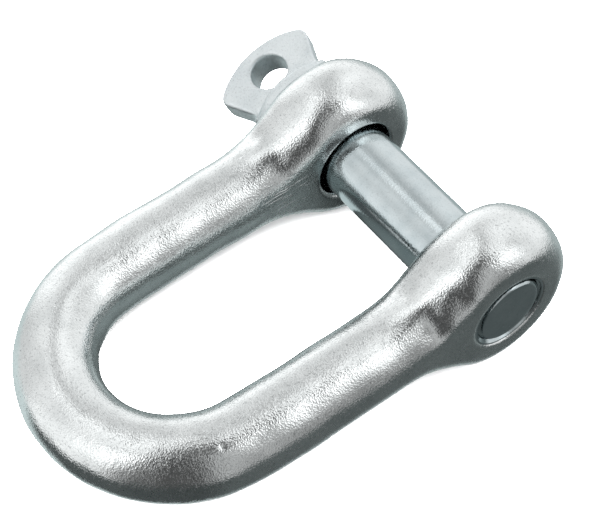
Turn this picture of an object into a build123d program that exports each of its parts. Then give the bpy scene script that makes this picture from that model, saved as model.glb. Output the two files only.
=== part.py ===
from build123d import *
from math import atan2, ceil, degrees, radians, sqrt, tan
import os

# A screw-pin dee shackle in drop-forged, zinc-plated steel. Millimetres.
# Row frame: the origin is on the pin's axis, midway between the ears. +X runs along the pin from its
# head to its screwed tip, the crown of the bow is towards -Y, and +Z is square to the plane of the bow.

# Bow: a round bar bent to a U
BAR = 20.5                    # bar thickness in the plane of the bow
BAR_DEPTH = 20.2              # and square to it
INSIDE_WIDTH = 39.3           # between the legs
INSIDE_LENGTH = 78.4          # from the pin to the inside of the crown
CROWN_RADIUS = 29.25         # centreline radius at the bottom of the crown
CROWN_DEPTH = 42.0            # centreline, from the end of the straight legs to the bottom

# Ears: rounded barrels about the pin's axis
JAW = 39.0                    # clear gap between the ears
EAR_THICKNESS = 21.2
EAR_RADIUS = 21.5
EAR_FACE_RADIUS = 14.1        # the flat on each side of an ear
NECK_LENGTH = 33.0            # from the pin's axis down to where the leg is plain bar
NECK_STEPS = 5                # sections that shape the neck
NECK_HALF_WIDTH = 10.4        # where the neck runs into the ear

# Screw pin, M20 x 2.5 with a loose commercial fit
PIN_RADIUS = 10.0
PIN_HOLE_RADIUS = 11.1        # the plain hole, in the ear at the pin's head
HOLE_CHAMFER = 0.8
PITCH = 2.5
PITCH_RADIUS = 9.19           # where tooth and space are equally wide
FLANK_SLOPE = tan(radians(30))
FLANK_GAP = 0.16              # axial play on each flank
CREST_RADIUS = 9.85           # outside of the pin's thread
ROOT_RADIUS = 8.35
TAPPED_CREST_RADIUS = 8.65    # the tapped hole before its thread is cut
TAPPED_ROOT_RADIUS = 10.1
TAPPED_MOUTH_RADIUS = 10.7    # the countersink at each end of the tapped hole
THREAD_TURN = 37.0            # degrees about the pin, where both threads start
SHOULDER_GAP = 0.4            # from the shank's end to the tapped ear
RELIEF_RADIUS = 8.2           # plain neck between shank and thread
RELIEF_LENGTH = 3.0
SHOULDER_CHAMFER = 1.0        # where the shank ends, just inside the jaw
TIP_INSET = 0.3               # from the ear's outer face in to the pin's tip
TIP_CHAMFER = 1.3

# Head of the pin
COLLAR_RADIUS = 14.0
COLLAR_THICKNESS = 3.6
COLLAR_ROUND = 0.9
COLLAR_PLAY = 0.1             # from the collar to the ear, to the paddle and round the pin
COLLAR_NECK_RADIUS = 9.5      # the pin inside its collar
COLLAR_NECK_END = 0.5         # this neck runs on past the ear's outer face
ROOT_DISC_RADIUS = 12.8       # the paddle's base, on the collar
ROOT_DISC_THICKNESS = 0.8
ROOT_FILLET = 2.5
PADDLE_THICKNESS = 8.7
PADDLE_HEIGHT = 20.0          # beyond the collar
PADDLE_HALF_WIDTH = 14.5      # at the shoulders
SHOULDER_HEIGHT = 14.1        # beyond the collar
FOOT_HALF_WIDTH = 8.8
PADDLE_ROUND = 1.2
PADDLE_TURN = 20.0            # degrees about the pin, as it stands when tight
EYE_RADIUS = 5.0
EYE_HEIGHT = 11.2             # beyond the collar

OVERSHOOT = 1.0               # how far a cutting solid runs past the face that it cuts
TOUCH = 0.01                  # points this near count as level

EAR_X = (JAW + EAR_THICKNESS) / 2
EAR_OUTER_X = JAW / 2 + EAR_THICKNESS
LEG_X = (INSIDE_WIDTH + BAR) / 2
CROWN_Y = -(PIN_RADIUS + INSIDE_LENGTH + BAR / 2)
SPRING_Y = CROWN_Y + CROWN_DEPTH
SHOULDER_X = JAW / 2 - SHOULDER_GAP
THREAD_X = SHOULDER_X + RELIEF_LENGTH
TIP_X = EAR_OUTER_X - TIP_INSET
COLLAR_X = -EAR_OUTER_X - COLLAR_PLAY - COLLAR_THICKNESS
HEAD_X = COLLAR_X - COLLAR_PLAY


def about_pin(solid):
    """Lay a solid made about +Z along the pin, with its top at +X."""
    return Rot(0, 90, 0) * solid


def disc(radius, low_x, high_x):
    """A cylinder about the pin's axis."""
    upright = Cylinder(radius, high_x - low_x, align=(Align.CENTER, Align.CENTER, Align.MIN))
    return about_pin(Pos(0, 0, low_x) * upright)


def cone(low_radius, high_radius, low_x, high_x):
    """A truncated cone about the pin's axis."""
    upright = Cone(low_radius, high_radius, high_x - low_x, align=(Align.CENTER, Align.CENTER, Align.MIN))
    return about_pin(Pos(0, 0, low_x) * upright)


def leg_section(x, y, half_width, half_depth):
    """An oval across a leg."""
    return Plane(origin=(x, y, 0), x_dir=(1, 0, 0), z_dir=(0, 1, 0)) * Ellipse(half_width, half_depth)


def bar_line():
    """Centreline of the plain bar: straight legs, a wide arc beside each and a tighter one at the crown."""
    drop = CROWN_DEPTH - CROWN_RADIUS
    side_radius = (LEG_X**2 + CROWN_DEPTH**2 - 2 * CROWN_DEPTH * CROWN_RADIUS) / (2 * (LEG_X - CROWN_RADIUS))
    side_x = side_radius - LEG_X
    side_angle = degrees(atan2(drop, side_x))
    return Wire([
        Line((-LEG_X, -NECK_LENGTH), (-LEG_X, SPRING_Y)).edge(),
        CenterArc((side_x, SPRING_Y), side_radius, 180, side_angle).edge(),
        CenterArc((0, SPRING_Y - drop), CROWN_RADIUS, 180 + side_angle, 180 - 2 * side_angle).edge(),
        CenterArc((-side_x, SPRING_Y), side_radius, -side_angle, side_angle).edge(),
        Line((LEG_X, SPRING_Y), (LEG_X, -NECK_LENGTH)).edge(),
    ])


def bar():
    return sweep(leg_section(-LEG_X, -NECK_LENGTH, BAR / 2, BAR_DEPTH / 2), path=bar_line())


def neck(side):
    """Flare from the bar up into an ear: an arc that meets the leg and the ear's rim smoothly."""
    rise = EAR_RADIUS - BAR_DEPTH / 2
    flare_radius = (NECK_LENGTH**2 / rise - EAR_RADIUS - BAR_DEPTH / 2) / 2
    meet_y = -NECK_LENGTH * EAR_RADIUS / (EAR_RADIUS + flare_radius)
    sections = []
    for step in range(NECK_STEPS + 1):
        up = step / NECK_STEPS
        y = -NECK_LENGTH + up * (meet_y + NECK_LENGTH)
        x = LEG_X + up * (EAR_X - LEG_X)
        half_width = BAR / 2 + up * (NECK_HALF_WIDTH - BAR / 2)
        half_depth = BAR_DEPTH / 2 + flare_radius - sqrt(flare_radius**2 - (y + NECK_LENGTH)**2)
        sections.append(leg_section(side * x, y, half_width, half_depth))
    return loft(sections)


def ear(side):
    """A barrel with a flat on each side and a rounded rim."""
    half = EAR_THICKNESS / 2
    rim = EllipticalCenterArc((0, EAR_FACE_RADIUS), half, EAR_RADIUS - EAR_FACE_RADIUS, 0, arc_size=180)
    wall = Polyline((-half, EAR_FACE_RADIUS), (-half, 0), (half, 0), (half, EAR_FACE_RADIUS))
    profile = make_face([rim.edge()] + list(wall.edges()))
    return Pos(side * EAR_X, 0, 0) * revolve(profile, Axis.X)


def plain_ear():
    """The ear at the pin's head, with its clearance hole broken at both edges."""
    hole = disc(PIN_HOLE_RADIUS, -EAR_OUTER_X - OVERSHOOT, -JAW / 2 + OVERSHOOT)
    wide = PIN_HOLE_RADIUS + HOLE_CHAMFER
    inner = cone(PIN_HOLE_RADIUS, wide, -JAW / 2 - HOLE_CHAMFER, -JAW / 2)
    outer = cone(wide, PIN_HOLE_RADIUS, -EAR_OUTER_X, -EAR_OUTER_X + HOLE_CHAMFER)
    return ear(-1) - (hole + inner + outer)


def tooth_width(radius):
    """Axial width of the 60-degree tooth at a radius."""
    return PITCH / 2 - 2 * FLANK_SLOPE * (radius - PITCH_RADIUS)


def tooth_turns(low_radius, high_radius, slack):
    """A right-hand tooth wound about the pin through the tapped ear, as one solid a turn."""
    low = tooth_width(low_radius) / 2 - slack
    high = tooth_width(high_radius) / 2 - slack
    depth = high_radius - low_radius
    outline = Polygon((0, -low), (depth, -high), (depth, high), (0, low), align=None)
    section = Plane(origin=(low_radius, 0, 0), x_dir=(1, 0, 0), z_dir=(0, 1, 0)) * outline
    turn = sweep(section, path=Helix(pitch=PITCH, height=PITCH, radius=low_radius), is_frenet=True)
    first = JAW / 2 - PITCH
    count = ceil((EAR_OUTER_X - first) / PITCH) + 1
    turn = Rot(0, 0, THREAD_TURN) * turn
    return [about_pin(Pos(0, 0, first + step * PITCH) * turn) for step in range(count)]


def tapped_ear():
    """The ear at the pin's tip, bored, countersunk at both edges and tapped."""
    sink = TAPPED_MOUTH_RADIUS - TAPPED_CREST_RADIUS
    bore = disc(TAPPED_CREST_RADIUS, JAW / 2 - OVERSHOOT, EAR_OUTER_X + OVERSHOOT)
    inner = cone(TAPPED_MOUTH_RADIUS, TAPPED_CREST_RADIUS, JAW / 2, JAW / 2 + sink)
    outer = cone(TAPPED_CREST_RADIUS, TAPPED_MOUTH_RADIUS, EAR_OUTER_X - sink, EAR_OUTER_X)
    return ear(1) - (bore + inner + outer) - tooth_turns(ROOT_RADIUS, TAPPED_ROOT_RADIUS, 0)


def shackle_body():
    return bar() + neck(-1) + neck(1) + plain_ear() + tapped_ear()


def pin_thread():
    """Core and tooth, cut square at the relief and chamfered at the tip."""
    room = disc(CREST_RADIUS + OVERSHOOT, THREAD_X, TIP_X - TIP_CHAMFER)
    room += cone(CREST_RADIUS, CREST_RADIUS - TIP_CHAMFER, TIP_X - TIP_CHAMFER, TIP_X)
    teeth = [turn & room for turn in tooth_turns(RELIEF_RADIUS, CREST_RADIUS, FLANK_GAP)]
    teeth = [tooth for tooth in teeth if tooth is not None and tooth.volume > 0]
    return disc(ROOT_RADIUS, THREAD_X, TIP_X) + teeth


def paddle():
    """Flat flared plate with an arched top, standing on a thin base disc, with its lanyard eye."""
    edge_a = Line((0, -FOOT_HALF_WIDTH), (SHOULDER_HEIGHT, -PADDLE_HALF_WIDTH))
    top = ThreePointArc(edge_a @ 1, (PADDLE_HEIGHT, 0), (SHOULDER_HEIGHT, PADDLE_HALF_WIDTH))
    edge_b = Line(top @ 1, (0, FOOT_HALF_WIDTH))
    foot = Line(edge_b @ 1, edge_a @ 0)
    outline = make_face([edge_a.edge(), top.edge(), edge_b.edge(), foot.edge()])
    plate = extrude(outline, PADDLE_THICKNESS / 2, both=True)
    rims = plate.faces().filter_by(Axis.Z).edges().filter_by(lambda edge: edge.center().X > TOUCH)
    plate = fillet(rims, PADDLE_ROUND)
    head = plate + disc(ROOT_DISC_RADIUS, 0, ROOT_DISC_THICKNESS)
    root = head.edges().filter_by(lambda edge: abs(edge.center().X - ROOT_DISC_THICKNESS) < TOUCH)
    root = root.filter_by(GeomType.LINE)
    head = fillet(root, ROOT_FILLET)
    head -= Pos(EYE_HEIGHT, 0, 0) * Cylinder(EYE_RADIUS, 2 * PADDLE_THICKNESS)
    return Pos(HEAD_X, 0, 0) * Rot(PADDLE_TURN, 0, 0) * Rot(0, 0, 180) * head


def screw_pin():
    chamfer_x = SHOULDER_X - SHOULDER_CHAMFER
    shank = disc(COLLAR_NECK_RADIUS, HEAD_X, COLLAR_NECK_END - EAR_OUTER_X)
    shank += disc(PIN_RADIUS, COLLAR_NECK_END - EAR_OUTER_X, chamfer_x)
    shank += cone(PIN_RADIUS, PIN_RADIUS - SHOULDER_CHAMFER, chamfer_x, SHOULDER_X)
    relief = disc(RELIEF_RADIUS, SHOULDER_X, THREAD_X)
    return shank + relief + pin_thread() + paddle()


def pin_collar():
    ring = disc(COLLAR_RADIUS, COLLAR_X, COLLAR_X + COLLAR_THICKNESS)
    ring = fillet(ring.edges(), COLLAR_ROUND)
    low_x = COLLAR_X - OVERSHOOT
    high_x = COLLAR_X + COLLAR_THICKNESS + OVERSHOOT
    return ring - disc(COLLAR_NECK_RADIUS + COLLAR_PLAY, low_x, high_x)


os.makedirs("parts", exist_ok=True)
for make in (shackle_body, screw_pin, pin_collar):
    solid = make()
    print(make.__name__, solid.is_valid, round(solid.volume), len(solid.solids()))
    export_step(solid, "parts/" + make.__name__ + ".step")
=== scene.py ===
import math
from itertools import product

import bpy
import numpy as np
from mathutils import Matrix, Vector


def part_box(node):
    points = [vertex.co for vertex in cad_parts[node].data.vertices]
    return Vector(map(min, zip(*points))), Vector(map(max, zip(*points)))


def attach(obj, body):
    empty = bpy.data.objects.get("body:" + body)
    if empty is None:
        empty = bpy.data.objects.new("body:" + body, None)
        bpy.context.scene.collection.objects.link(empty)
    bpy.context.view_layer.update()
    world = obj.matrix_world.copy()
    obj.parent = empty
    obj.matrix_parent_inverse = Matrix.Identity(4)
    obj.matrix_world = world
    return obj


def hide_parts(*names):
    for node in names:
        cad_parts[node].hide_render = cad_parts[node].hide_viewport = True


# Looks of a zinc-plated screw-pin dee shackle. Shapes are worked out in millimetres in the row frame and
# written to the meshes in metres. +X runs along the pin to its tip, the crown is towards -Y, +Z is up.

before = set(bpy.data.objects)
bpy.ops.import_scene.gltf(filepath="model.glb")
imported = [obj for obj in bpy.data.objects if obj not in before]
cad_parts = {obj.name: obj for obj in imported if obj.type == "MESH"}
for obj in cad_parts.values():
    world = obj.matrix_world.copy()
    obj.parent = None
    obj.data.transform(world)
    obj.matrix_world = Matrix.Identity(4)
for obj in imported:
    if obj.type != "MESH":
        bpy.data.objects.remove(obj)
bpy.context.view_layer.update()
_, BODY_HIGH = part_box("shackle_body")
PIN_LOW, PIN_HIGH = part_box("screw_pin")
COLLAR_LOW, COLLAR_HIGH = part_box("pin_collar")

MM = 0.001
TURNED_STEPS = 144            # points round a solid of revolution

# Sizes read from the frame
EAR_RADIUS = BODY_HIGH.z / MM
TIP_X = PIN_HIGH.x / MM
EAR_OUTER_X = TIP_X + 0.3
PADDLE_TOP_X = PIN_LOW.x / MM
COLLAR_X = COLLAR_LOW.x / MM
COLLAR_END_X = COLLAR_HIGH.x / MM
COLLAR_RADIUS = COLLAR_HIGH.z / MM
COLLAR_ROUND = 0.9
COLLAR_BORE_RADIUS = 9.6

# Bow
BAR_HALF_WIDTH = 10.25
BAR_HALF_DEPTH = 10.1
LEG_X = 29.9
CROWN_Y = -98.6
SPRING_Y = CROWN_Y + 42.0
CROWN_RADIUS = 29.25
CROWN_DROP = SPRING_Y - CROWN_Y - CROWN_RADIUS
SIDE_RADIUS = (LEG_X**2 + CROWN_DROP**2 - CROWN_RADIUS**2) / (2 * (LEG_X - CROWN_RADIUS))

# Ears and necks
EAR_HALF = 10.6
EAR_X = EAR_OUTER_X - EAR_HALF
JAW_X = EAR_OUTER_X - 2 * EAR_HALF
EAR_FACE_RADIUS = 14.1
EAR_RIM = EAR_RADIUS - EAR_FACE_RADIUS
NECK_LENGTH = 33.0
NECK_FLARE = (NECK_LENGTH**2 / (EAR_RADIUS - BAR_HALF_DEPTH) - EAR_RADIUS - BAR_HALF_DEPTH) / 2
NECK_WAIST = 0.46             # the neck's half width is this much less halfway from the bar to the ear
NECK_END = 10.4               # the neck has turned into the ear this far below the pin's axis
PLAIN_HOLE_RADIUS = 11.1
TAPPED_HOLE_RADIUS = 10.3
HOLE_EDGE = 1.7
SLEEVE_CREST_RADIUS = 8.65
SLEEVE_ROOT_RADIUS = 10.1
SLEEVE_BACK_RADIUS = 10.75
SLEEVE_MOUTH_RADIUS = 10.7    # a 45 degree chamfer runs in from this radius at each face of the ear
SLEEVE_INSET = 0.5

# Marks on the forging: place, reach and depth
PITS = (((-32.1, -27.1, 10.3), 0.5, 0.35), ((-31.7, -24.8, 10.6), 0.4, 0.3))
NICKS = (((32.7, -78.3, 8.9), 0.6, 0.22),)
NECK_HOLLOWS = (((39.0, -21.5, 8.5), 3.2, 1.1), ((36.0, -21.5, 13.5), 3.0, 0.7),
                ((26, -22.5, 13.5), 3.0, 0.9), ((-35, -21.5, 13.0), 3.2, 0.8), ((-23.5, -22, 12.5), 3.0, 0.8))
DENTS = (((37.7, -13, 13.8), 2.4, 0.28), ((-27, -22, 14.5), 2.6, 0.30), ((-24, 6, 20.5), 3.0, 0.30),
         ((30, -6, 20.5), 3.0, 0.30), ((27, -30, 11.5), 3.4, 0.25), ((20, -92, 9.5), 3.0, 0.25),
         ((-34, -62, 7), 3.2, 0.25))
LUMP_FREE_RADIUS = 14.5       # no lumps or marks this near the pin's axis
LUMP_FADE = 2.0               # outside that they fade in over about twice this

# Patch of tool scratches on the plain ear's neck, in metres
SCRATCHED = (-0.0200, -0.0210, 0.0015)
SCRATCH_REACH = 0.0095

# Pin
PIN_RADIUS = 10.0
NECK_RADIUS = 9.5
SHOULDER_X = JAW_X - 0.4
THREAD_X = SHOULDER_X + 3.0
RELIEF_RADIUS = 8.2
PITCH = 2.5
PITCH_RADIUS = 9.19
FLANK_SLOPE = math.tan(math.radians(30))
FLANK_GAP = 0.16
THREAD_FIRST = JAW_X - PITCH
THREAD_TURN = math.radians(37)
THREAD_ROOT_RADIUS = 8.35
THREAD_CREST_RADIUS = 9.85
TIP_CHAMFER = 1.3

# Head of the pin
HEAD_X = COLLAR_X - 0.1
PADDLE_HEIGHT = HEAD_X - PADDLE_TOP_X
PADDLE_HALF_THICKNESS = 4.42
SHOULDER_HEIGHT = 14.1
PADDLE_HALF_WIDTH = 15.1
FOOT_HALF_WIDTH = 9.15
PADDLE_TURN = math.radians(20)
TOP_SAGITTA = PADDLE_HEIGHT - SHOULDER_HEIGHT
TOP_RADIUS = (PADDLE_HALF_WIDTH**2 + TOP_SAGITTA**2) / (2 * TOP_SAGITTA)
ROOT_DISC_RADIUS = 12.8
ROOT_DISC_THICKNESS = 0.8
ROOT_BLEND = 5.0
FRONT_EDGE = 1.3
BACK_EDGE = 3.2
SHOULDER_ROUND = 2.2
EYE_RADIUS = 5.0
EYE_HEIGHT = 11.2
EYE_EDGE = 1.0

# Boxes that hold the surface nets, and their cell sizes
BOW_LOW, BOW_HIGH, BOW_STEP = (-43, -112, -23.5), (43, 23.5, 23.5), 0.5
HEAD_LOW, HEAD_HIGH, HEAD_STEP = (PADDLE_TOP_X - 1.1, -15.3, -15.3), (HEAD_X + 1.1, 15.3, 15.3), 0.3

# Plating: depths in metres
GRAIN_DEPTH = 0.0002
PEEL_DEPTH = 0.0006
SCRATCH_DEPTH = 0.0002
SCRATCH_STRENGTH = 0.55
SCRATCH_DULLING = 0.4
SCRATCH_STRETCH = (1, 0.10, 1)
SPECK_COLOUR = (0.22, 0.23, 0.24, 1)
MATT_SPECK_ROUGHNESS = 0.42

# Camera: angles in degrees, places in metres
CAMERA_AZIMUTH = 58.30
CAMERA_ELEVATION = 54.92
CAMERA_ROLL = -5.58
CAMERA_DISTANCE = 0.42430
CAMERA_TARGET = (0, -0.040, 0)
AIM_RIGHT = 0.00451
AIM_UP = 0.00647
CAMERA_LENS = 106.02

# Floor, shadow card and lamp, in metres and watts
FLOOR_HALF = 3.0
FLOOR_GAP = 0.0004
FLOOR_COLOUR = (0.93, 0.93, 0.93, 1)
CARD_HALF_WIDTH = 0.019
CARD_NEAR = -0.006
CARD_FAR = -CROWN_Y * MM - 0.012
CARD_COLOUR = (0.022, 0.026, 0.026, 1)
SHEET_ROUGHNESS = 0.9
LAMP_ELEVATION = 80
LAMP_DISTANCE = 1.2
LAMP_SIZE = 1.6
LAMP_POWER = 220

# Light tent: rings of azimuth in degrees and brightness. They are tuned values. The table is the
# lowest ring, and each ring above it takes over between two elevations in degrees.
HIGH = ((-180, 0.75), (-155, 0.62), (-125, 0.38), (-108, 0.42), (-98, 0.95), (-75, 0.95), (-60, 0.82),
        (-8, 0.88), (8, 0.65), (20, 0.32), (35, 0.12), (60, 0.09), (105, 0.14), (122, 0.30), (138, 0.90),
        (160, 0.88), (180, 0.75))
UPPER = ((-180, 0.68), (-155, 0.85), (-122, 0.48), (-95, 0.70), (-65, 0.58), (-50, 0.70), (-38, 0.62),
         (-12, 0.85), (4, 1.3), (13, 1.2), (24, 0.32), (40, 0.07), (58, 0.05), (68, 0.22), (85, 0.42),
         (99, 0.28), (107, 0.55), (115, 1.1), (126, 1.4), (142, 0.80), (165, 0.52), (180, 0.68))
MIDDLE = ((-180, 0.76), (-150, 0.74), (-115, 0.92), (-95, 1.05), (-75, 0.52), (-50, 0.52), (-30, 0.85),
          (-5, 0.72), (8, 0.65), (22, 0.20), (40, 0.06), (60, 0.07), (80, 0.40), (97, 0.28), (114, 0.16),
          (122, 0.62), (142, 0.64), (165, 0.70), (180, 0.76))
TABLE = ((-180, 0.32), (-150, 0.38), (-125, 0.32), (-110, 0.50), (-60, 0.55), (-46, 0.55), (-38, 0.07),
         (10, 0.07), (60, 0.045), (90, 0.09), (110, 0.085), (140, 0.09), (165, 0.14), (180, 0.32))
ZENITH = ((-180, 0.20), (180, 0.22))
RINGS = ((-19, -9, MIDDLE), (8, 38, UPPER), (60, 61.5, HIGH), (79, 85, ZENITH))
TABLE_RED = 0.88              # the table is a little cool
TENT_STRENGTH = 1.34


# ---------------------------------------------------------------- distance fields

def smooth_min(a, b, reach):
    near = np.maximum(reach - np.abs(a - b), 0) / reach
    return np.minimum(a, b) - near * near * reach / 4


def smooth_max(a, b, reach):
    return -smooth_min(-a, -b, reach)


def oval(u, v, half_u, half_v):
    """Distance from an ellipse, close to exact near its edge."""
    ratio = np.hypot(u / half_u, v / half_v)
    slope = np.hypot(u / half_u**2, v / half_v**2)
    return ratio * (ratio - 1) / np.maximum(slope, 1e-5)


def bar_offset(x, y):
    """Distance outward from the bar's centreline, in the plane of the bow."""
    across = np.abs(x)
    drop = SPRING_Y - y
    side_x = SIDE_RADIUS - LEG_X
    leg = across - LEG_X
    side = np.hypot(across + side_x, drop) - SIDE_RADIUS
    crown = np.hypot(across, drop - CROWN_DROP) - CROWN_RADIUS
    beside = drop * side_x < CROWN_DROP * (across + side_x)
    return np.where(drop < 0, leg, np.where(beside, side, crown))


def outline(y, z):
    """Distance from a leg's outline seen from the side: bar, flared neck and round ear."""
    depth = np.abs(z)
    centre = BAR_HALF_DEPTH + NECK_FLARE
    bar = depth - BAR_HALF_DEPTH
    neck = NECK_FLARE - np.hypot(y + NECK_LENGTH, depth - centre)
    ear = np.hypot(y, z) - EAR_RADIUS
    beside = centre * y + NECK_LENGTH * depth < 0
    return np.where(y < -NECK_LENGTH, bar, np.where(beside, neck, ear))


def bow_field(x, y, z):
    """The bow: bar, flared necks, rounded ears and both holes."""
    share = np.clip((y + NECK_LENGTH) / (NECK_LENGTH - NECK_END), 0, 1)
    share = share * share * (3 - 2 * share)
    rim = BAR_HALF_DEPTH + share * (EAR_RIM - BAR_HALF_DEPTH)
    half = BAR_HALF_WIDTH + share * (EAR_HALF - BAR_HALF_WIDTH) - 4 * NECK_WAIST * share * (1 - share)
    offset = bar_offset(x, y) - share * (EAR_X - LEG_X)
    solid = oval(offset, np.maximum(outline(y, z) + rim, 0), half, rim)
    hole = np.where(x < 0, PLAIN_HOLE_RADIUS, TAPPED_HOLE_RADIUS)
    return smooth_max(solid, hole - np.hypot(y, z), HOLE_EDGE)


def head_field(x, y, z):
    """The pin's flat head with its eye, on a thin base."""
    height = HEAD_X - x
    wide = np.abs(y * math.cos(PADDLE_TURN) + z * math.sin(PADDLE_TURN))
    thick = z * math.cos(PADDLE_TURN) - y * math.sin(PADDLE_TURN)
    lean = math.atan2(PADDLE_HALF_WIDTH - FOOT_HALF_WIDTH, SHOULDER_HEIGHT)
    flank = (wide - FOOT_HALF_WIDTH) * math.cos(lean) - height * math.sin(lean)
    top = np.hypot(height - PADDLE_HEIGHT + TOP_RADIUS, wide) - TOP_RADIUS
    shape = smooth_max(flank, top, SHOULDER_ROUND)
    edge = np.where(thick > 0, FRONT_EDGE, BACK_EDGE)
    plate = smooth_max(shape, np.abs(thick) - PADDLE_HALF_THICKNESS, edge)
    base = np.maximum(np.hypot(y, z) - ROOT_DISC_RADIUS, height - ROOT_DISC_THICKNESS)
    solid = np.maximum(smooth_min(plate, base, ROOT_BLEND), -height)
    eye = EYE_RADIUS - np.hypot(height - EYE_HEIGHT, wide)
    return smooth_max(solid, eye, EYE_EDGE)


def net(field, low, high, step):
    """Surface net of a field: one vertex in each cell that the surface crosses, drawn onto the surface."""
    axes = [np.arange(a, b + step, step) for a, b in zip(low, high)]
    value = field(*np.meshgrid(*axes, indexing="ij", sparse=True))
    inside = value < 0
    cells = [n - 1 for n in inside.shape]
    corners = list(product((0, 1), repeat=3))
    count = np.zeros(cells, np.int8)
    for i, j, k in corners:
        count += inside[i:i + cells[0], j:j + cells[1], k:k + cells[2]]
    mixed = (count > 0) & (count < 8)
    index = np.full(cells, -1, np.int32)
    index[mixed] = np.arange(mixed.sum())
    cell = np.argwhere(mixed)
    total = np.zeros(cell.shape)
    crossings = np.zeros((len(cell), 1))
    for corner in corners:
        for axis in range(3):
            if corner[axis]:
                continue
            other = list(corner)
            other[axis] = 1
            a = value[tuple((cell + corner).T)]
            b = value[tuple((cell + other).T)]
            crossed = (a < 0) != (b < 0)
            share = np.where(crossed, a / np.where(crossed, a - b, 1), 0)
            point = np.array(corner) + share[:, None] * np.eye(3)[axis]
            total += point * crossed[:, None]
            crossings += crossed[:, None]
    points = np.array(low) + (cell + total / crossings) * step
    quads = []
    for axis in range(3):
        u = np.eye(3, dtype=int)[(axis + 1) % 3]
        v = np.eye(3, dtype=int)[(axis + 2) % 3]
        before = np.moveaxis(inside, axis, 0)[:-1]
        after = np.moveaxis(inside, axis, 0)[1:]
        for mask, outward in ((before & ~after, True), (~before & after, False)):
            node = np.argwhere(np.moveaxis(mask, 0, axis))
            ring = [index[tuple((node - shift).T)] for shift in (u + v, v, 0 * u, u)]
            quads.append(np.stack(ring if outward else ring[::-1], 1))
    return points, np.concatenate(quads)


def gradient(field, points, reach=0.05):
    parts = []
    for axis in range(3):
        shift = np.eye(3)[axis] * reach
        parts.append(field(*(points + shift).T) - field(*(points - shift).T))
    return np.stack(parts, 1) / (2 * reach)


def settle(field, points, rounds=3):
    """Draws points onto a field's surface and returns them with their normals."""
    for _ in range(rounds):
        slope = gradient(field, points)
        size = np.maximum((slope**2).sum(1), 0.05)
        points = points - (field(*points.T) / size)[:, None] * slope
    slope = gradient(field, points)
    return points, slope / np.maximum(np.linalg.norm(slope, axis=1), 1e-6)[:, None]


def waves(points, seed, count, longest, shortest):
    """Smooth random unevenness between about -1 and 1, made of waves in random directions."""
    rng = np.random.default_rng(seed)
    total = np.zeros(len(points))
    for _ in range(count):
        way = rng.normal(size=3)
        way *= 2 * math.pi / rng.uniform(shortest, longest) / np.linalg.norm(way)
        total += np.sin(points @ way + rng.uniform(0, 2 * math.pi))
    return total * math.sqrt(2 / count) / 2


# ---------------------------------------------------------------- meshes

def make_object(name, points, faces, sharp=None):
    """A smooth-shaded object from points in millimetres. Edges sharper than `sharp` degrees stay crisp."""
    mesh = bpy.data.meshes.new(name)
    mesh.from_pydata((points * MM).tolist(), [], [list(map(int, face)) for face in faces])
    mesh.validate()
    mesh.shade_smooth()
    if sharp:
        mesh.set_sharp_from_angle(angle=math.radians(sharp))
    piece = bpy.data.objects.new(name, mesh)
    bpy.context.scene.collection.objects.link(piece)
    return piece


def turned(name, along, radius, closed=False, sharp=30):
    """A solid of revolution about the pin. `along` and `radius` have one row a station and one column an
    angle. A closed one joins its last station to its first; the others end in a point on the axis."""
    stations, steps = radius.shape
    angle = np.arange(steps) * 2 * math.pi / steps
    points = np.stack([along, radius * np.sin(angle), -radius * np.cos(angle)], 2).reshape(-1, 3)
    grid = np.arange(stations * steps).reshape(stations, steps)
    if closed:
        grid = np.vstack([grid, grid[:1]])
    right = np.roll(grid, -1, 1)
    quads = np.stack([grid[:-1], right[:-1], right[1:], grid[1:]], 2).reshape(-1, 4)
    faces = quads.tolist()
    if not closed:
        for row, pole in ((0, len(points)), (-1, len(points) + 1)):
            ring = grid[row].tolist()
            pairs = zip(ring, ring[1:] + ring[:1])
            faces += [(pole, b, a) if row == 0 else (pole, a, b) for a, b in pairs]
        ends = [[along[0].mean(), 0, 0], [along[-1].mean(), 0, 0]]
        points = np.vstack([points, ends])
    return make_object(name, points, faces, sharp)


def thread_radius(angle, x, slack, low, high):
    """Radius of the right-hand thread at an angle and a place along the pin."""
    lead = x - THREAD_FIRST - PITCH * (angle - THREAD_TURN) / (2 * math.pi)
    away = np.abs((lead + PITCH / 2) % PITCH - PITCH / 2)
    return np.clip(PITCH_RADIUS + (PITCH / 4 - slack - away) / FLANK_SLOPE, low, high)


def make_bow():
    points, quads = net(bow_field, BOW_LOW, BOW_HIGH, BOW_STEP)
    points, normal = settle(bow_field, points)
    radius = np.hypot(points[:, 1], points[:, 2])
    near_hole = np.exp(-np.maximum(radius - LUMP_FREE_RADIUS, 0) ** 2 / (2 * LUMP_FADE**2))
    lumps = 0.15 * waves(points, seed=3, count=14, longest=34, shortest=15)
    lumps += 0.08 * waves(points, seed=4, count=18, longest=12, shortest=7)
    for centre, reach, depth in PITS + NICKS + NECK_HOLLOWS + DENTS:
        lumps -= depth * np.exp(-((points - np.array(centre)) ** 2).sum(1) / reach**2)
    points = points + (lumps * (1 - near_hole))[:, None] * normal
    return make_object("bow_forging", points, quads)


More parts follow.
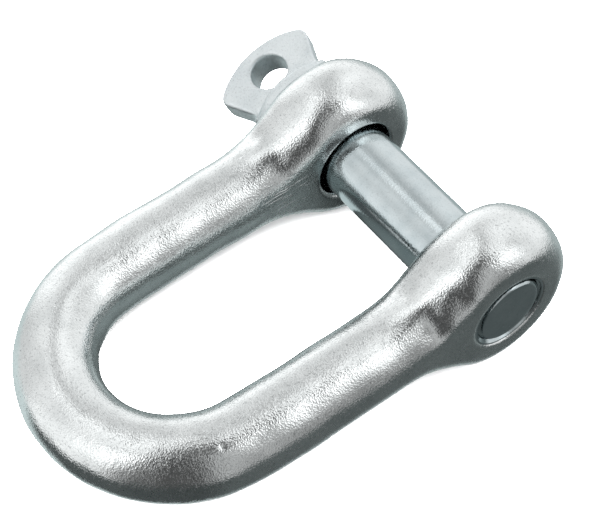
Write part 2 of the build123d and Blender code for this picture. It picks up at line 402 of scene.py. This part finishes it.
def make_ear_thread():
    """The tapped hole's wall: a threaded sleeve set into the ear."""
    angle = np.arange(TURNED_STEPS) * 2 * math.pi / TURNED_STEPS
    low, high = JAW_X + SLEEVE_INSET, EAR_OUTER_X - SLEEVE_INSET
    x = np.linspace(low, high, 190)[:, None]
    chamfer = SLEEVE_MOUTH_RADIUS - np.minimum(x - JAW_X, EAR_OUTER_X - x)
    wall = thread_radius(angle[None, :], x, 0, SLEEVE_CREST_RADIUS, SLEEVE_ROOT_RADIUS)
    inner = np.maximum(wall, chamfer)
    rows = np.vstack([inner, np.full((2, TURNED_STEPS), SLEEVE_BACK_RADIUS)])
    back = np.full((2, TURNED_STEPS), [[high], [low]])
    along = np.vstack([np.repeat(x, TURNED_STEPS, 1), back])
    return turned("ear_thread", along, rows, closed=True)


def make_pin():
    """Shank, relief, thread and tip of the pin."""
    angle = np.arange(TURNED_STEPS) * 2 * math.pi / TURNED_STEPS
    rows = [(HEAD_X - 1.0, 8.0), (HEAD_X - 1.0, NECK_RADIUS), (-EAR_OUTER_X + 0.4, NECK_RADIUS),
            (-EAR_OUTER_X + 0.5, 9.7), (-EAR_OUTER_X + 0.8, PIN_RADIUS)]
    rows += [(x, PIN_RADIUS) for x in np.linspace(-EAR_OUTER_X + 1.2, SHOULDER_X - 1.2, 60)]
    rows += [(SHOULDER_X - 1.0, 9.98), (SHOULDER_X - 0.8, 9.85), (SHOULDER_X - 0.1, 9.1),
             (SHOULDER_X, 8.95), (SHOULDER_X, RELIEF_RADIUS + 0.3), (SHOULDER_X + 0.3, RELIEF_RADIUS)]
    along = [np.full(TURNED_STEPS, x) for x, r in rows]
    radius = [np.full(TURNED_STEPS, r) for x, r in rows]
    for x in np.linspace(THREAD_X - 0.1, TIP_X - 0.2, 175):
        wall = thread_radius(angle, x, FLANK_GAP, THREAD_ROOT_RADIUS, THREAD_CREST_RADIUS)
        wall = np.minimum(wall, RELIEF_RADIUS + max(x - THREAD_X, 0) * 1.2)
        wall = np.minimum(wall, THREAD_CREST_RADIUS - max(x - TIP_X + TIP_CHAMFER, 0))
        along.append(np.full(TURNED_STEPS, x))
        radius.append(np.maximum(wall, RELIEF_RADIUS))
    tip = ((TIP_X - 0.05, THREAD_ROOT_RADIUS + 0.2), (TIP_X, THREAD_ROOT_RADIUS), (TIP_X, 7.4), (TIP_X, 6),
           (TIP_X, 4), (TIP_X, 2))
    for x, r in tip:
        along.append(np.full(TURNED_STEPS, x))
        radius.append(np.full(TURNED_STEPS, r))
    return turned("pin_shank", np.array(along), np.array(radius))


def make_head():
    points, quads = net(head_field, HEAD_LOW, HEAD_HIGH, HEAD_STEP)
    points, normal = settle(head_field, points)
    lumps = 0.05 * waves(points, seed=7, count=12, longest=12, shortest=6)
    points = points + lumps[:, None] * normal
    return make_object("pin_head", points, quads)


def make_collar():
    """The flange under the pin's head, with rounded rims."""
    profile = [(COLLAR_X, COLLAR_BORE_RADIUS), (COLLAR_X, 11.5)]
    for centre, start in ((COLLAR_X + COLLAR_ROUND, 180), (COLLAR_END_X - COLLAR_ROUND, 90)):
        for step in range(7):
            turn = math.radians(start - step * 15)
            profile.append((centre + COLLAR_ROUND * math.cos(turn),
                            COLLAR_RADIUS - COLLAR_ROUND + COLLAR_ROUND * math.sin(turn)))
    profile += [(COLLAR_END_X, 11.5), (COLLAR_END_X, COLLAR_BORE_RADIUS)]
    along = np.array([np.full(TURNED_STEPS, x) for x, r in profile])
    radius = np.array([np.full(TURNED_STEPS, r) for x, r in profile])
    return turned("pin_flange", along, radius, closed=True)


# ---------------------------------------------------------------- shader nodes

def feed(tree, socket, value):
    """Links a socket to another one, or sets its own value."""
    if isinstance(value, bpy.types.NodeSocket):
        tree.links.new(value, socket)
    else:
        socket.default_value = value


def noise(tree, vector, scale, detail, roughness=0.5):
    node = tree.nodes.new("ShaderNodeTexNoise")
    node.inputs["Scale"].default_value = scale
    node.inputs["Detail"].default_value = detail
    node.inputs["Roughness"].default_value = roughness
    tree.links.new(vector, node.inputs["Vector"])
    return node.outputs["Fac"]


def ramp(tree, source, stops):
    """A colour ramp. Each stop is a position with a grey level or a colour, in rising order."""
    node = tree.nodes.new("ShaderNodeValToRGB")
    elements = node.color_ramp.elements
    for number, (at, value) in enumerate(stops):
        stop = elements[number] if number < 2 else elements.new(at)
        stop.position = at
        stop.color = (*value, 1) if isinstance(value, tuple) else (value, value, value, 1)
    tree.links.new(source, node.inputs["Fac"])
    return node.outputs["Color"]


def mix(tree, factor, a, b, blend="MIX"):
    node = tree.nodes.new("ShaderNodeMix")
    node.data_type = "RGBA"
    node.blend_type = blend
    for number, value in ((0, factor), (6, a), (7, b)):
        feed(tree, node.inputs[number], value)
    return node.outputs[2]


def calculate(tree, operation, *values):
    node = tree.nodes.new("ShaderNodeMath")
    node.operation = operation
    for socket, value in zip(node.inputs, values):
        feed(tree, socket, value)
    return node.outputs[0]


def remap(tree, source, from_min, from_max, to_min, to_max):
    node = tree.nodes.new("ShaderNodeMapRange")
    node.inputs["From Min"].default_value = from_min
    node.inputs["From Max"].default_value = from_max
    node.inputs["To Min"].default_value = to_min
    node.inputs["To Max"].default_value = to_max
    tree.links.new(source, node.inputs["Value"])
    return node.outputs["Result"]


def bump(tree, height, strength, depth, normal=None):
    node = tree.nodes.new("ShaderNodeBump")
    node.inputs["Strength"].default_value = strength
    node.inputs["Distance"].default_value = depth
    tree.links.new(height, node.inputs["Height"])
    if normal:
        tree.links.new(normal, node.inputs["Normal"])
    return node.outputs["Normal"]


# ---------------------------------------------------------------- materials

def scratch_mask(tree, vector, centre):
    """Thin strokes along the leg, 1 on a stroke and 0 off it, inside a round patch."""
    away = tree.nodes.new("ShaderNodeVectorMath")
    away.operation = "DISTANCE"
    away.inputs[1].default_value = centre
    tree.links.new(vector, away.inputs[0])
    within = remap(tree, away.outputs["Value"], SCRATCH_REACH * 0.5, SCRATCH_REACH, 1.0, 0.0)
    stretch = tree.nodes.new("ShaderNodeMapping")
    stretch.inputs["Scale"].default_value = SCRATCH_STRETCH
    tree.links.new(vector, stretch.inputs["Vector"])
    streaks = noise(tree, stretch.outputs["Vector"], 1500, 1)
    strokes = ramp(tree, streaks, [(0.56, 0.0), (0.66, 1.0)])
    return calculate(tree, "MULTIPLY", strokes, within)


def plating(name, base, dull, rough, grain, grain_size, speckle, peel, scratched=None):
    """Bright zinc over steel. The colour has dull patches and dark specks, the roughness is uneven with matt
    specks, and the bump has a fine crystal grain under a softer peel. `rough` is a range of roughness, and
    `scratched` is the middle of a patch of tool scratches."""
    material = bpy.data.materials.new(name)
    material.use_nodes = True
    tree = material.node_tree
    shader = tree.nodes["Principled BSDF"]
    shader.inputs["Metallic"].default_value = 1.0
    place = tree.nodes.new("ShaderNodeTexCoord").outputs["Object"]

    patches = ramp(tree, noise(tree, place, 110, 5, 0.6), [(0.40, 0.0), (0.66, 1.0)])
    tint = mix(tree, patches, (*base, 1), (*dull, 1))
    specks = ramp(tree, noise(tree, place, grain_size * 0.8, 3, 0.7), [(0.30, 1.0), (0.45, 0.0)])
    dark = mix(tree, 1.0, specks, (speckle, speckle, speckle, 1), "MULTIPLY")
    tree.links.new(mix(tree, dark, tint, SPECK_COLOUR), shader.inputs["Base Color"])

    uneven = remap(tree, noise(tree, place, 260, 6, 0.7), 0.3, 0.7, *rough)
    matt = ramp(tree, noise(tree, place, grain_size * 0.85, 1.5, 0.6), [(0.50, 0.0), (0.62, 1.0)])
    roughness = calculate(tree, "MULTIPLY_ADD", matt, MATT_SPECK_ROUGHNESS * speckle, uneven)

    crystal = tree.nodes.new("ShaderNodeTexVoronoi")
    crystal.inputs["Scale"].default_value = grain_size
    tree.links.new(place, crystal.inputs["Vector"])
    grit = calculate(tree, "ADD", crystal.outputs["Distance"], noise(tree, place, grain_size * 0.9, 1.0))
    normal = bump(tree, grit, grain, GRAIN_DEPTH)
    normal = bump(tree, noise(tree, place, 420, 3), peel, PEEL_DEPTH, normal)
    if scratched:
        scratches = scratch_mask(tree, place, scratched)
        roughness = calculate(tree, "MULTIPLY_ADD", scratches, SCRATCH_DULLING, roughness)
        normal = bump(tree, scratches, SCRATCH_STRENGTH, SCRATCH_DEPTH, normal)
    tree.links.new(roughness, shader.inputs["Roughness"])
    tree.links.new(normal, shader.inputs["Normal"])
    return material


def dress(piece, material, body):
    piece.data.materials.append(material)
    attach(piece, body)


# ---------------------------------------------------------------- camera, floor and light

def direction(azimuth, elevation):
    """Unit vector at angles in degrees. Azimuth 0 is towards -Y and 90 towards +X."""
    a, e = math.radians(azimuth), math.radians(elevation)
    return Vector((math.sin(a) * math.cos(e), -math.cos(a) * math.cos(e), math.sin(e)))


def make_camera():
    """Looks down on the bow from its tip side; the aim is off the target so that no lens shift is needed."""
    back = direction(CAMERA_AZIMUTH, CAMERA_ELEVATION)
    level = direction(CAMERA_AZIMUTH + 90, 0)
    rise = back.cross(level)
    roll = math.radians(CAMERA_ROLL)
    right = math.cos(roll) * level + math.sin(roll) * rise
    up = back.cross(right)
    target = Vector(CAMERA_TARGET)
    place = target + CAMERA_DISTANCE * back
    aim = target + AIM_RIGHT * right + AIM_UP * up
    axis = (place - aim).normalized()
    side = up.cross(axis).normalized()
    facing = Matrix((side, axis.cross(side), axis)).transposed()
    data = bpy.data.cameras.new("camera")
    data.lens = CAMERA_LENS
    data.sensor_width = 36
    camera = bpy.data.objects.new("camera", data)
    camera.matrix_world = Matrix.Translation(place) @ facing.to_4x4()
    bpy.context.scene.collection.objects.link(camera)
    bpy.context.scene.camera = camera


def floor_normal():
    """The bow lies on its two ears and its crown."""
    lean = math.asin((BODY_HIGH.z - BAR_HALF_DEPTH * MM) / (-CROWN_Y * MM))
    return Vector((0, math.sin(lean), math.cos(lean)))


def make_sheet(name, half_width, near, far, drop, material_name, colour):
    """A flat matt sheet that lies as the floor does, `drop` below the pin's axis."""
    normal = floor_normal()
    corners = [(-half_width, near, 0), (half_width, near, 0), (half_width, far, 0), (-half_width, far, 0)]
    mesh = bpy.data.meshes.new(name)
    mesh.from_pydata(corners, [], [(0, 1, 2, 3)])
    sheet = bpy.data.objects.new(name, mesh)
    sheet.rotation_mode = "QUATERNION"
    sheet.rotation_quaternion = normal.to_track_quat("Z", "Y")
    sheet.location = normal * -drop
    bpy.context.scene.collection.objects.link(sheet)
    material = bpy.data.materials.new(material_name)
    material.use_nodes = True
    shader = material.node_tree.nodes["Principled BSDF"]
    shader.inputs["Base Color"].default_value = colour
    shader.inputs["Roughness"].default_value = SHEET_ROUGHNESS
    mesh.materials.append(material)
    return sheet


def make_floor():
    """The pale floor. Reflections show the light tent's table instead of it."""
    floor = make_sheet("floor", FLOOR_HALF, -FLOOR_HALF, FLOOR_HALF, BODY_HIGH.z + FLOOR_GAP,
                       "floor_white", FLOOR_COLOUR)
    floor.visible_glossy = False


def make_shadow_card():
    """A dark card inside the bow, seen only in reflections, stands for the shaded floor there."""
    card = make_sheet("shadow_card", CARD_HALF_WIDTH, CARD_NEAR, CARD_FAR, BODY_HIGH.z,
                      "card_grey", CARD_COLOUR)
    shader = card.data.materials[0].node_tree.nodes["Principled BSDF"]
    shader.inputs["Specular IOR Level"].default_value = 0.0
    card.visible_camera = False
    card.visible_diffuse = False
    card.visible_shadow = False


def make_lamp():
    """A square lamp over the bow. It lights the floor and is hidden from reflections."""
    way = direction(0, LAMP_ELEVATION)
    lamp = bpy.data.lights.new("overhead", "AREA")
    lamp.shape = "RECTANGLE"
    lamp.size = LAMP_SIZE
    lamp.size_y = LAMP_SIZE
    lamp.energy = LAMP_POWER
    holder = bpy.data.objects.new("overhead", lamp)
    holder.location = Vector(CAMERA_TARGET) + way * LAMP_DISTANCE
    holder.rotation_mode = "QUATERNION"
    holder.rotation_quaternion = way.to_track_quat("Z", "Y")
    holder.visible_glossy = False
    bpy.context.scene.collection.objects.link(holder)


def make_world():
    """A light tent with a dim front on the camera's side, over a table that is dark there too. Each ring runs
    round the horizon from behind the ears, azimuth -180, past the crown, 0, to 180."""
    world = bpy.data.worlds.new("light_tent")
    world.use_nodes = True
    tree = world.node_tree
    background = tree.nodes["Background"]
    place = tree.nodes.new("ShaderNodeTexCoord")
    split = tree.nodes.new("ShaderNodeSeparateXYZ")
    tree.links.new(place.outputs["Generated"], split.inputs[0])

    def stops(ring):
        return [((azimuth + 180) / 360, value) for azimuth, value in ring]

    south = calculate(tree, "MULTIPLY", split.outputs["Y"], -1)
    turn = calculate(tree, "ARCTAN2", split.outputs["X"], south)
    share = calculate(tree, "ADD", calculate(tree, "DIVIDE", turn, 2 * math.pi), 0.5)
    rise = calculate(tree, "ARCSINE", split.outputs["Z"])
    height = calculate(tree, "ADD", calculate(tree, "DIVIDE", rise, math.pi), 0.5)
    tent = ramp(tree, share, [(at, (TABLE_RED * value, value, value)) for at, value in stops(TABLE)])
    for low, high, ring in RINGS:
        above = ramp(tree, height, [(low / 180 + 0.5, 0.0), (high / 180 + 0.5, 1.0)])
        tent = mix(tree, above, tent, ramp(tree, share, stops(ring)))
    tree.links.new(tent, background.inputs["Color"])
    background.inputs["Strength"].default_value = TENT_STRENGTH
    bpy.context.scene.world = world


make_camera()
make_floor()
make_shadow_card()
make_world()
make_lamp()

forging = plating("zinc_on_forging", base=(0.87, 0.90, 0.90), dull=(0.74, 0.77, 0.77), rough=(0.04, 0.10),
                  grain=0.19, grain_size=2400, speckle=0.60, peel=0.10, scratched=SCRATCHED)
turned_zinc = plating("zinc_on_turned_pin", base=(0.63, 0.695, 0.71), dull=(0.52, 0.59, 0.61),
                      rough=(0.07, 0.12), grain=0.06, grain_size=2300, speckle=0.20, peel=0.03)
head_zinc = plating("zinc_on_pin_head", base=(0.81, 0.86, 0.87), dull=(0.73, 0.785, 0.80),
                    rough=(0.36, 0.50), grain=0.3, grain_size=2300, speckle=0.3, peel=0.1)

bow = make_bow()
dress(bow, forging, "bow")
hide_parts("shackle_body")
ear_thread = make_ear_thread()
dress(ear_thread, turned_zinc, "bow")
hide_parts("shackle_body")
pin = make_pin()
dress(pin, turned_zinc, "pin")
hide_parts("screw_pin")
head = make_head()
dress(head, head_zinc, "pin")
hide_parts("screw_pin")
collar = make_collar()
dress(collar, head_zinc, "collar")
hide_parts("pin_collar")

bpy.context.scene.view_settings.view_transform = "Standard"
